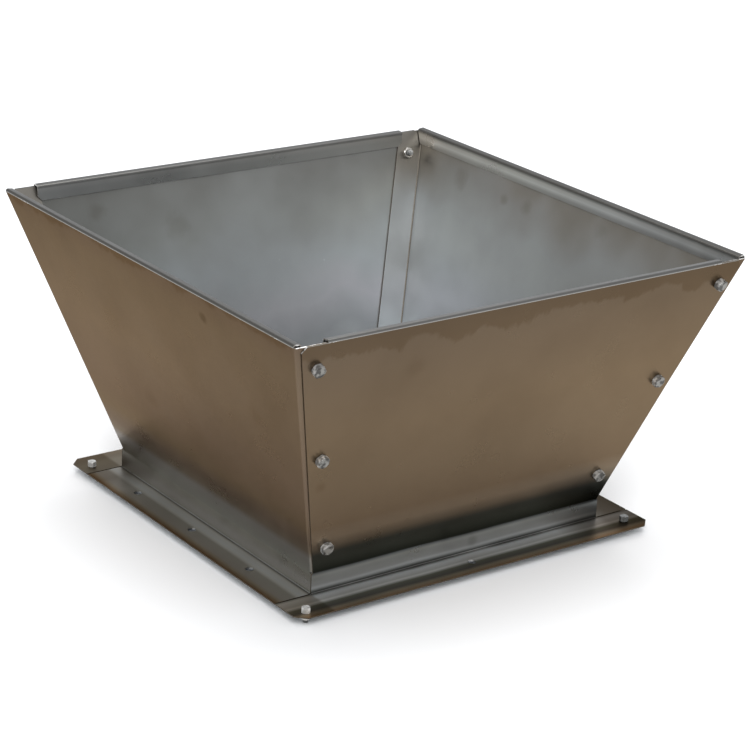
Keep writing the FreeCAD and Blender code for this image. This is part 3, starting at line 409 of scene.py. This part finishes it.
def panel_finishes(name, outer, foot, inner, rim, top_darkening=None, wobble=0.5, painted_ends=FOOT_ENDS,
                   painted_spread=None, marks=(), inner_marks=()):
    """Finishes of one panel, in the order of the slots above."""
    # The brown edge tint of the outside and foot finishes is a painted reflection of a brown floor.
    return [sheet_steel(name + "_outside", UPWARD, outer, wobble=wobble, top_darkening=top_darkening,
                        painted_edge_tint=(0.5, 0.46, 0.42), roughness=0.3, patches=marks),
            sheet_steel(name + "_inside", UPWARD, inner, roughness=0.42, wobble=20.0,
                        mottle=0.3, across=painted_spread, patches=inner_marks),
            GLINT_CUT_EDGE,
            sheet_steel(name + "_foot", OUTWARD[name], foot, roughness=0.36, wobble=0.6,
                        across=(ALONG[name], painted_ends), painted_edge_tint=(0.5, 0.48, 0.45)),
            sheet_steel(name + "_rim", UPWARD, rim, roughness=0.3), SHADED_CUT_EDGE, SEAM_SHADOW]


# ---- mesh helpers -------------------------------------------------------------------------
def make_object(name, verts, faces, materials, node):
    """A mesh in millimetres as a piece of the housing, in place of a CAD node."""
    mesh = bpy.data.meshes.new(name)
    mesh.from_pydata([Vector(v) * MM for v in verts], [], faces)
    mesh.validate()
    obj = bpy.data.objects.new(name, mesh)
    bpy.context.scene.collection.objects.link(obj)
    for mat in materials:
        mesh.materials.append(mat)
    for poly in mesh.polygons:
        poly.use_smooth = True
    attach(obj, HOUSING)
    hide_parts(node)
    return obj


def bake(obj):
    """Apply the modifiers to the mesh."""
    graph = bpy.context.evaluated_depsgraph_get()
    mesh = bpy.data.meshes.new_from_object(obj.evaluated_get(graph))
    obj.modifiers.clear()
    obj.data = mesh


def bevel(obj, width, angle):
    """Round the edges sharper than an angle in degrees."""
    mod = obj.modifiers.new("bevel", "BEVEL")
    mod.width = width * MM
    mod.segments = 2
    mod.limit_method = "ANGLE"
    mod.angle_limit = math.radians(angle)


# ---- cowl panels --------------------------------------------------------------------------
COLUMNS = 44
CORNER_STEPS = 8
BEND_STEPS = 7
RETURN_STEPS = 5


def profile_rows():
    """Outer face of a panel as (x, z, zone) from the foot's edge to the folded leg's end."""
    rows = [(x, FOOT_TOP, "foot") for x in (213, 210.5, 208, 205.5, 203, 197, 191, 185, 179, 175.5)]
    for i in range(6):
        a = math.radians(-90 - 18 * i)
        rows.append((THROAT_HALF + FOOT_BEND * (1 + math.cos(a)),
                     FOOT_TOP + FOOT_BEND * (1 + math.sin(a)), "foot" if i == 0 else "up"))
    rows += [(THROAT_HALF, z, "up") for z in (13, 16, 19, 22, 25, 27.5, 29.4)]
    for z in [RETURN_LOW] + [41.0 + 12.05 * i for i in range(21)] + [RIM_TOP - 9, RETURN_HIGH]:
        rows.append((wall_half(z), z, "wall"))
    rows.append((HEM_X + HEM_R * math.cos(LEAN), WALL_TOP, "wall"))
    crown = math.pi / 2 + HEM_TILT
    for i in range(1, 9):
        a = -LEAN + (crown + LEAN) * i / 8
        rows.append((HEM_X + HEM_R * math.cos(a), HEM_Z + HEM_R * math.sin(a), "hem"))
    for i in range(1, 5):
        f = i / 5
        rows.append((HEM_X + (LEG_X - HEM_X) * f + HEM_R * math.cos(crown),
                     HEM_Z + (LEG_Z - HEM_Z) * f + HEM_R * math.sin(crown), "hem"))
    for i in range(9):
        a = crown + (math.pi - crown) * i / 8
        rows.append((LEG_X + HEM_R * math.cos(a), LEG_Z + HEM_R * math.sin(a), "hem"))
    for i in range(1, 7):
        rows.append((LEG_X - HEM_R, LEG_Z + (LEG_LOW - LEG_Z) * i / 6, "hem"))
    return rows


def seam_inset(z):
    """How far the front and rear panels stop short of the corner."""
    f = (z - CREASE) / (HEM_Z - CREASE)
    return SEAM_INSET_LOW + (SEAM_INSET_HIGH - SEAM_INSET_LOW) * f


def row_half(kind, z, zone):
    """Half length of a panel's row, corner bends and foot corners left out."""
    if kind == "face":
        if zone in ("foot", "up"):
            return THROAT_HALF
        start = HEM_Z - CLIP
        if z <= start:
            return wall_half(z) - seam_inset(z)
        return wall_half(start) - seam_inset(start) - (min(z, WALL_TOP) - start) * (1 - SLOPE)
    if zone == "foot":
        return THROAT_HALF - 0.6
    if zone == "up":
        return THROAT_HALF - SHEET - 0.15
    return wall_half(z) - ACROSS - LAP_GAP - SEAM_BEND


def ripple(y, z, seed):
    """How far a wall stands out of its plane: slack in the sheet, none at its edges."""
    span = wall_half(z) - 12
    edge = max(0.0, 1 - (abs(y) / span) ** 4) * max(0.0, math.sin(math.pi * min(1.0, max(0.0, (
        z - CREASE) / (WALL_TOP - CREASE)))))
    wave = noise.noise(Vector((y * 0.008 + seed * 7.3, z * 0.009, seed * 1.7)))
    return 1.1 * wave * edge


def hem_half(kind):
    """Half length of a panel's folded rim."""
    return min(HEM_HALF[kind], row_half(kind, WALL_TOP, "wall"))


def core_point(kind, seed, row, t):
    """Point of a panel's sheet, t from -1 to 1 along its row."""
    x, z, zone = row
    if zone != "hem":
        y = t * row_half(kind, z, zone)
        out = ripple(y, z, seed) if zone == "wall" else 0.0
        return x + out * math.cos(LEAN), y, z - out * math.sin(LEAN)
    y = t * row_half(kind, WALL_TOP, "wall")
    if z < LEG_Z:
        limit = min(hem_half(kind), row_half(kind, z, zone))
        limit = min(limit, hem_half(kind) - LEG_CLIP + z - LEG_LOW)
        y = max(-limit, min(limit, y))
    return x, y, z


def corner_point(x, z, side, step):
    """Point of the corner square at the end of a front or rear foot."""
    y = THROAT_HALF + (FOOT_HALF - THROAT_HALF) * step / CORNER_STEPS
    y = min(y, FOOT_HALF - max(0.0, x - (FOOT_HALF - FOOT_CLIP)))
    return x, side * y, z


def return_point(z, side, step):
    """Point of a side panel's corner bend or of the return behind the seam."""
    face = wall_half(z) - ACROSS - LAP_GAP
    middle = wall_half(z) - SEAM_BEND
    if step > BEND_STEPS:
        reach = (SEAM_RETURN - SEAM_BEND) * (step - BEND_STEPS) / RETURN_STEPS
        return middle - reach, side * face, z
    a = math.radians(90 * step / BEND_STEPS)
    return middle + SEAM_BEND * math.cos(a), side * (face - SEAM_BEND + SEAM_BEND * math.sin(a)), z


def sheet_points(rows, kind, seed):
    """Points of a panel's outer face by (row, column) or (row, side, step)."""
    hem_t = hem_half(kind) / row_half(kind, WALL_TOP, "wall")
    even = [-1 + 2 * i / COLUMNS for i in range(COLUMNS + 1)]
    columns = sorted(set(even + [-hem_t, hem_t]))
    points = {}
    for r, row in enumerate(rows):
        x, z, zone = row
        for c, t in enumerate(columns):
            if zone != "hem" or abs(t) <= hem_t + 1e-6:
                points[r, c] = core_point(kind, seed, row, t)
        for side in (-1, 1):
            if kind == "face" and zone == "foot":
                for step in range(1, CORNER_STEPS + 1):
                    points[r, side, step] = corner_point(x, z, side, step)
            if kind == "side" and zone == "wall" and RETURN_LOW - 0.1 < z < RETURN_HIGH + 0.1:
                for step in range(1, BEND_STEPS + RETURN_STEPS + 1):
                    points[r, side, step] = return_point(z, side, step)
    return points, len(columns)


def sheet_faces(points, row_count, column_count):
    """Faces between neighbouring points, as indices into the points."""
    index = {key: i for i, key in enumerate(points)}
    cells = []
    for r in range(row_count - 1):
        for c in range(column_count - 1):
            cells.append([(r, c), (r, c + 1), (r + 1, c + 1), (r + 1, c)])
        for side, edge in ((-1, 0), (1, column_count - 1)):
            strip = [(edge,)] + [(side, e) for e in range(1, BEND_STEPS + RETURN_STEPS + 1)]
            for a, b in zip(strip, strip[1:]):
                cell = [(r, *a), (r, *b), (r + 1, *b), (r + 1, *a)]
                cells.append(cell[::-1] if side < 0 else cell)
    return [[index[key] for key in cell] for cell in cells if all(key in index for key in cell)]


def panel(name, turn, kind, seed, node, finishes):
    """One bent sheet of the cowl, turned about the axis to its side."""
    rows = profile_rows()
    points, column_count = sheet_points(rows, kind, seed)
    faces = sheet_faces(points, len(rows), column_count)
    obj = make_object(name, list(points.values()), faces, finishes, node)
    clean = bmesh.new()
    clean.from_mesh(obj.data)
    bmesh.ops.remove_doubles(clean, verts=clean.verts, dist=1e-6)
    bmesh.ops.dissolve_degenerate(clean, dist=1e-6, edges=clean.edges)
    clean.to_mesh(obj.data)
    clean.free()
    obj.data.transform(Matrix.Rotation(math.radians(turn), 4, "Z"))
    solid = obj.modifiers.new("sheet", "SOLIDIFY")
    solid.thickness = SHEET * MM
    solid.offset = -1
    solid.use_even_offset = True
    solid.material_offset = INSIDE
    solid.material_offset_rim = CUT
    bake(obj)
    drill(obj)
    dress(obj, turn)
    bevel(obj, 0.18, 50)


def drill(obj):
    """Bore the holes of the foot through a panel."""
    cutters = bmesh.new()
    holes = [(place, ROOF_HOLE) for place in ROOF_HOLES]
    holes += [(place, SCREW_HOLE) for place in CORNER_SCREWS]
    for (x, y), radius in holes:
        place = Matrix.Translation(Vector((x, y, FOOT_TOP)) * MM)
        bmesh.ops.create_cone(cutters, cap_ends=True, segments=40, radius1=radius * MM,
                              radius2=radius * MM, depth=8 * MM, matrix=place)
    mesh = bpy.data.meshes.new("cutters")
    cutters.to_mesh(mesh)
    cutters.free()
    tool = bpy.data.objects.new("cutters", mesh)
    bpy.context.scene.collection.objects.link(tool)
    mod = obj.modifiers.new("holes", "BOOLEAN")
    mod.operation = "DIFFERENCE"
    mod.solver = "EXACT"
    mod.object = tool
    bake(obj)
    bpy.data.objects.remove(tool)


# Cut edges get the bright finish, as painted glints, at the ends of the hems, from HEM_GLINT out, and
# at the rim's corners; the other cut edges get the dark finish as painted reflection and shade.
HEM_GLINT = 214.0
GLINT_LOW = 291.0
GLINT_SIDE = 247.0


def dress(obj, turn):
    """Give each face the finish of its place on the sheet: painted glints on the cut edges at the hem
    ends and rim corners, painted reflection and shade on the other cut edges, and a painted seam
    shadow on the inner faces of the corner bends.
    """
    back = Matrix.Rotation(math.radians(-turn), 3, "Z")
    for poly in obj.data.polygons:
        centre = back @ (poly.center / MM)
        facing = back @ poly.normal
        leg = centre.z > LEG_LOW - 0.5 and centre.x < wall_half(centre.z) - 3.5
        folded = abs(facing.y) < 0.8 and (leg or centre.z > WALL_TOP - 0.2)
        hem_end = centre.z > LEG_LOW and HEM_GLINT < abs(centre.y) < HEM_HALF["face"] + 1
        slot = poly.material_index
        if hem_end and (slot == CUT or folded and facing.z < -0.2):
            slot = CUT
        elif slot == CUT:
            slot = CUT if centre.z > GLINT_LOW and abs(centre.y) > GLINT_SIDE else SHADED_EDGE_SLOT
        # Inner faces of the corner bends: painted seam shadow.
        elif slot == INSIDE and abs(facing.x) < 0.93 and 0.2 < abs(facing.y) < 0.93:
            slot = BEND_SHADOW_SLOT
        elif folded:
            slot = RIM
        elif slot == OUTSIDE and centre.z < FOOT_TOP + 0.8:
            slot = FOOT
        poly.material_index = slot
        poly.use_smooth = True
    obj.data.set_sharp_from_angle(angle=math.radians(40))


SMUDGE = (0.80, 0.78, 0.75)
SPECK = (1.5, 1.5, 1.5)
# The last front mark, on the upstand, is a painted reflection of the hole in the flange before it.
FRONT_MARKS = [((26.0, -220.0, 215.0), 14.0, 0.5, (0.86, 0.84, 0.82)),
               ((-120.0, -240.0, 250.0), 18.0, 0.6, (0.86, 0.84, 0.82)),
               ((-190.0, -205.0, 135.0), 9.0, 0.8, (0.84, 0.81, 0.78)),
               ((15.0, -173.0, 20.0), 9.0, 0.7, (0.72, 0.71, 0.70))]
LEFT_MARKS = [((-253.0, -103.0, 272.6), 8.0, 0.9, (0.70, 0.69, 0.68)),
              ((-225.0, -150.0, 190.0), 16.0, 0.5, (0.84, 0.82, 0.80)),
              ((-205.0, 60.0, 130.0), 16.0, 0.5, (0.84, 0.82, 0.80))]
REAR_MARKS = [((48.4, 224.0, 184.7), 2.2, 1.0, SPECK), ((105.4, 221.3, 176.6), 2.0, 1.0, SPECK),
              ((-70.0, 240.0, 235.0), 20.0, 0.6, SMUDGE), ((-160.0, 245.0, 262.0), 14.0, 0.8, SMUDGE)]
RIGHT_MARKS = [((248.4, 93.5, 258.8), 9.0, 0.9, SMUDGE), ((249.1, 57.4, 260.8), 11.0, 0.8, SMUDGE),
               ((250.0, 170.0, 262.0), 16.0, 0.8, SMUDGE), ((252.0, -60.0, 268.0), 14.0, 0.7, SMUDGE)]

panel("front_sheet", -90, "face", 1, "front_panel",
      panel_finishes("front", FRONT_OUT, FRONT_FOOT, REAR_IN, REAR_RIM, top_darkening=(274, 11),
                     marks=FRONT_MARKS))
panel("rear_sheet", 90, "face", 2, "rear_panel",
      panel_finishes("rear", FRONT_OUT, REAR_FOOT, REAR_IN, REAR_RIM,
                     painted_spread=((1, 0, 0), REAR_SPREAD), inner_marks=REAR_MARKS))
panel("left_sheet", 180, "side", 3, "left_panel",
      panel_finishes("left", SIDE_OUT, SIDE_FOOT, SIDE_IN, SIDE_RIM, top_darkening=(289, 7),
                     painted_ends=SIDE_ENDS, marks=LEFT_MARKS))
panel("right_sheet", 0, "side", 4, "right_panel",
      panel_finishes("right", SIDE_OUT, RIGHT_FOOT, SIDE_IN, SIDE_RIM,
                     painted_spread=((0, 1, 0), RIGHT_SPREAD), inner_marks=RIGHT_MARKS))


# ---- fasteners ----------------------------------------------------------------------------
class Builder:
    """Collects several fasteners of one kind into one mesh."""

    def __init__(self):
        """Start with nothing in the mesh."""
        self.verts = []
        self.faces = []
        self.finishes = []

    def grid(self, rings, place, cap=None):
        """Skin over rings of equal length, with the second finish from the ring cap on."""
        offsets = []
        for ring in rings:
            offsets.append(len(self.verts))
            for point in ring:
                self.verts.append(place @ Vector(point))
        for i in range(len(rings) - 1):
            a, b = rings[i], rings[i + 1]
            n = max(len(a), len(b))
            for j in range(n):
                k = (j + 1) % n
                self.finishes.append(1 if cap is not None and i >= cap else 0)
                if len(a) == 1:
                    self.faces.append((offsets[i], offsets[i + 1] + k, offsets[i + 1] + j))
                elif len(b) == 1:
                    self.faces.append((offsets[i] + j, offsets[i] + k, offsets[i + 1]))
                else:
                    self.faces.append((offsets[i] + j, offsets[i] + k, offsets[i + 1] + k,
                                       offsets[i + 1] + j))

    def made(self, name, materials, node):
        """Turn the collected shapes into a piece."""
        obj = make_object(name, self.verts, self.faces, materials, node)
        for poly, finish in zip(obj.data.polygons, self.finishes):
            poly.material_index = finish
        obj.data.set_sharp_from_angle(angle=math.radians(28))
        bevel(obj, 0.12, 28)


SEGMENTS = 72
THREAD_SEGMENTS = 36


def circle(radius, z):
    """Ring of points about the axis."""
    angles = [2 * math.pi * i / SEGMENTS for i in range(SEGMENTS)]
    return [(radius * math.cos(a), radius * math.sin(a), z) for a in angles]


def hex_radius(angle, across):
    """Distance of a hexagon's side from its middle, seen at an angle."""
    step = math.radians(60)
    return across / 2 / math.cos((angle % step) - step / 2)


def hex_body(across, low, high, bore=0.0, dish=0.25):
    """Rings of a hexagon with its corners turned off at both ends, as a bolt head or nut."""
    flat = across / 2 * 0.96
    tan = math.tan(math.radians(30))

    def hexagon(z, up):
        """Ring of the hexagon where the turned face cuts it."""
        points = []
        for i in range(SEGMENTS):
            a = 2 * math.pi * i / SEGMENTS
            r = hex_radius(a, across)
            points.append((r * math.cos(a), r * math.sin(a), z - up * (r - flat) * tan))
        return points

    rings = []
    if bore:
        rings += [circle(bore, low + 0.5), circle(bore + 0.45, low)]
    else:
        rings += [[(0, 0, low)]]
    rings += [circle(flat, low), hexagon(low, -1), hexagon(high, 1), circle(flat, high)]
    if bore:
        rings += [circle(bore + 0.45, high), circle(bore, high - 0.5), circle(bore, low + 0.5)]
    else:
        rings += [circle(flat * 0.86, high), circle(flat * 0.78, high - dish), [(0, 0, high - dish)]]
    return rings


def thread(radius, low, high, pitch, depth):
    """Rings of a threaded shank with a chamfered end at the low side."""
    rings = [[(0, 0, low)]]
    steps = max(8, int((high - low) / pitch * 8))
    for i in range(steps + 1):
        z = low + (high - low) * i / steps
        ring = []
        for j in range(THREAD_SEGMENTS):
            a = 2 * math.pi * j / THREAD_SEGMENTS
            phase = (z / pitch - j / THREAD_SEGMENTS) % 1.0
            r = radius - depth * (1 - abs(2 * phase - 1))
            r = min(r, radius - depth * 1.2 + (z - low))
            ring.append((r * math.cos(a), r * math.sin(a), z))
        rings.append(ring)
    rings.append([(0, 0, high)])
    return rings


def aimed(point, axis, spin):
    """Place and aim a shape made about +Z, turned on its own axis."""
    turn = Vector(axis).to_track_quat("Z", "Y").to_matrix().to_4x4()
    return Matrix.Translation(Vector(point)) @ turn @ Matrix.Rotation(spin, 4, "Z")


dice = random.Random(11)


def seam_places():
    """Points and outward directions of the seam bolts."""
    places = []
    for face in (-1, 1):
        for side in (-1, 1):
            for row, inset in SEAM_BOLTS[face, side]:
                z = FOOT_TOP + row
                h = wall_half(z)
                axis = Vector((0, face * math.cos(LEAN), -math.sin(LEAN)))
                places.append((Vector((side * (h - inset), face * h, z)), axis))
    return places


HEAD_CAP = 3                     # ring of a head from which its end face begins
heads = Builder()
nuts = Builder()
for point, axis in seam_places():
    place = aimed(point, axis, dice.uniform(0, math.tau))
    heads.grid(hex_body(BOLT_ACROSS, 0.0, BOLT_TALL), place, cap=HEAD_CAP)
    heads.grid(thread(BOLT_RADIUS, -BOLT_LONG, 0.0, BOLT_PITCH, BOLT_THREAD), place)
    grip = 2 * SHEET + LAP_GAP * math.cos(LEAN)
    back = aimed(point - axis * grip, -axis, dice.uniform(0, math.tau))
    nuts.grid(hex_body(BOLT_ACROSS, 0.0, BOLT_NUT_TALL, bore=BOLT_RADIUS + NUT_PLAY), back)
heads.made("seam_bolt_set", [HEAD_SIDE, HEAD_END_SHADED], "seam_bolts")
nuts.made("seam_nut_set", [FASTENER], "seam_nuts")

screws = Builder()
lock = Builder()
for x, y in CORNER_SCREWS:
    place = aimed((x, y, FOOT_TOP), (0, 0, 1), dice.uniform(0, math.tau))
    shaded_cap = 0 if (x, y) == SHADED_SCREW else None
    screws.grid(hex_body(SCREW_ACROSS, 0.0, SCREW_TALL), place, cap=shaded_cap)
    screws.grid(thread(SCREW_RADIUS, -SCREW_LONG, 0.0, SCREW_PITCH, SCREW_THREAD), place, cap=0)
    back = aimed((x, y, FOOT_TOP - 2 * SHEET), (0, 0, -1), dice.uniform(0, math.tau))
    lock.grid(hex_body(SCREW_ACROSS, 0.0, SCREW_NUT_TALL, bore=SCREW_RADIUS + NUT_PLAY), back)
screws.made("corner_screw_set", [SCREW_HEAD, SHADED_SCREW_HEAD], "corner_screws")
lock.made("corner_nut_set", [FASTENER], "corner_nuts")

# ---- finishes of the CAD nodes that stay ---------------------------------------------------
FINISH = {
    "galvanised": GALV, "zinc_steel": ZINC, "motor_paint": ENAMEL, "blade_aluminium": ALUMINIUM,
    "lamination": LAMINATION, "copper_winding": COPPER, "bronze": BRONZE,
    "black_plastic": PLASTIC, "rubber": RUBBER, "stainless": STAINLESS,
    "stainless_fastener": FASTENER,
}
slots = {part["node"]: part["material_slot"] for part in frame["record"]["subparts"]}
for node, obj in frame["nodes"].items():
    obj.data.materials.clear()
    obj.data.materials.append(FINISH[slots[node]])
    for poly in obj.data.polygons:
        poly.material_index = 0
        poly.use_smooth = True
    obj.data.set_sharp_from_angle(angle=math.radians(30))
    bevel(obj, 0.25, 40)


# ---- stage --------------------------------------------------------------------------------
def area(name, point, target, size, power):
    """A soft lamp aimed at a point."""
    light = bpy.data.lights.new(name, "AREA")
    light.shape = "RECTANGLE"
    light.size, light.size_y = size
    light.energy = power
    obj = bpy.data.objects.new(name, light)
    obj.location = point
    obj.rotation_euler = (Vector(target) - Vector(point)).to_track_quat("-Z", "Y").to_euler()
    bpy.context.scene.collection.objects.link(obj)


FLOOR_HALF = 30.0
floor_mat, _, floor_bsdf = new_material("pale_floor")
floor_bsdf.inputs["Base Color"].default_value = (0.9, 0.9, 0.9, 1)
floor_bsdf.inputs["Roughness"].default_value = 0.8
floor_mesh = bpy.data.meshes.new("floor")
floor_mesh.from_pydata([(-FLOOR_HALF, -FLOOR_HALF, 0), (FLOOR_HALF, -FLOOR_HALF, 0),
                        (FLOOR_HALF, FLOOR_HALF, 0), (-FLOOR_HALF, FLOOR_HALF, 0)], [],
                       [(0, 1, 2, 3)])
floor_mesh.materials.append(floor_mat)
floor = bpy.data.objects.new("floor", floor_mesh)
bpy.context.scene.collection.objects.link(floor)

world = bpy.data.worlds.new("studio")
world.use_nodes = True
world.node_tree.nodes["Background"].inputs["Color"].default_value = (0.95, 0.97, 1.0, 1)
world.node_tree.nodes["Background"].inputs["Strength"].default_value = 0.9
bpy.context.scene.world = world
bpy.context.scene.view_settings.view_transform = "Standard"

area("key", (-1.6, -2.2, 2.6), (0, 0, 0.1), (1.8, 1.8), 60)
area("top", (0.4, 0.6, 3.0), (0, 0, 0.1), (2.5, 2.5), 60)

# The camera looks at AIM from AWAY metres off, the azimuth measured from the front.
AZIMUTH = math.radians(-36.341)
ELEVATION = math.radians(21.365)
ROLL = math.radians(2.64)
AIM = Vector((0, 0, 0.1116))
AWAY = 2.45416
back = Vector((math.sin(AZIMUTH) * math.cos(ELEVATION), -math.cos(AZIMUTH) * math.cos(ELEVATION),
               math.sin(ELEVATION)))
level = (-back).cross(Vector((0, 0, 1))).normalized()
upright = level.cross(-back)
right = level * math.cos(ROLL) + upright * math.sin(ROLL)
up = upright * math.cos(ROLL) - level * math.sin(ROLL)
cam = bpy.data.cameras.new("camera")
cam.sensor_width = 36.0
cam.lens = 117.5952
cam.shift_x = 0.0202533
cam.shift_y = 0.0312267
camera = bpy.data.objects.new("camera", cam)
rotation = Matrix((right, up, back)).transposed().to_4x4()
camera.matrix_world = Matrix.Translation(AIM + back * AWAY) @ rotation
bpy.context.scene.collection.objects.link(camera)
bpy.context.scene.camera = camera
